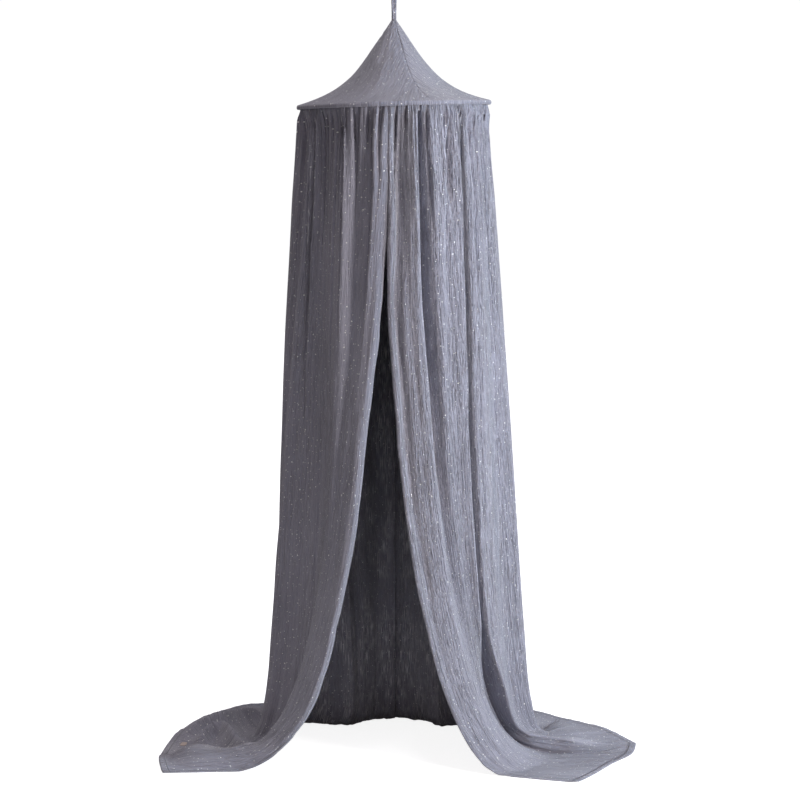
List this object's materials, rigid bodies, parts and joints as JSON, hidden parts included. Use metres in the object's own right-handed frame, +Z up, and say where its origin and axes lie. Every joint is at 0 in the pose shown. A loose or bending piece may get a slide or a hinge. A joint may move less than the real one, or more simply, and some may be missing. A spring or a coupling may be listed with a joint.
{
  "type": "hanging bed canopy",
  "caption": "Hanging bed canopy: a cone-shaped cloth crown over a hidden hoop, a gathered skirt that is open at the front and trails on the floor, and a cloth loop to hang it by.",
  "frame": {"origin": "inside the top of the hanging loop, where the hook bears", "axes": "+Z up; the skirt's opening faces -Y, so the canopy's right-hand train as seen from the front lies towards +X"},
  "size_m": [1.2815, 0.8086, 2.0555],
  "materials": {
    "gauze": "crinkled double gauze",
    "tape": "woven tape",
    "rod": "satin",
    "ferrule": "satin",
    "label": "plain"
  },
  "bodies": {
    "hanger": {"hanging_loop": "gauze"},
    "canopy": {"apex_patch": "gauze", "crown_gore_front": "gauze", "crown_gore_right": "gauze", "crown_gore_back": "gauze", "hoop_casing": "gauze", "hoop_rod_left": "rod", "hoop_rod_right": "rod", "hoop_ferrule_front": "ferrule", "hoop_ferrule_back": "ferrule", "heading_tape": "tape", "skirt_panel_left": "gauze", "skirt_panel_right": "gauze", "blank_label": "label"}
  },
  "joints": [
    {"name": "loop_swivel", "type": "hinge", "parent": "hanger", "child": "canopy", "pos_m": [0, 0, -0.106], "axis": [0, 0, 1], "range_deg": [-90, 90]}
  ]
}
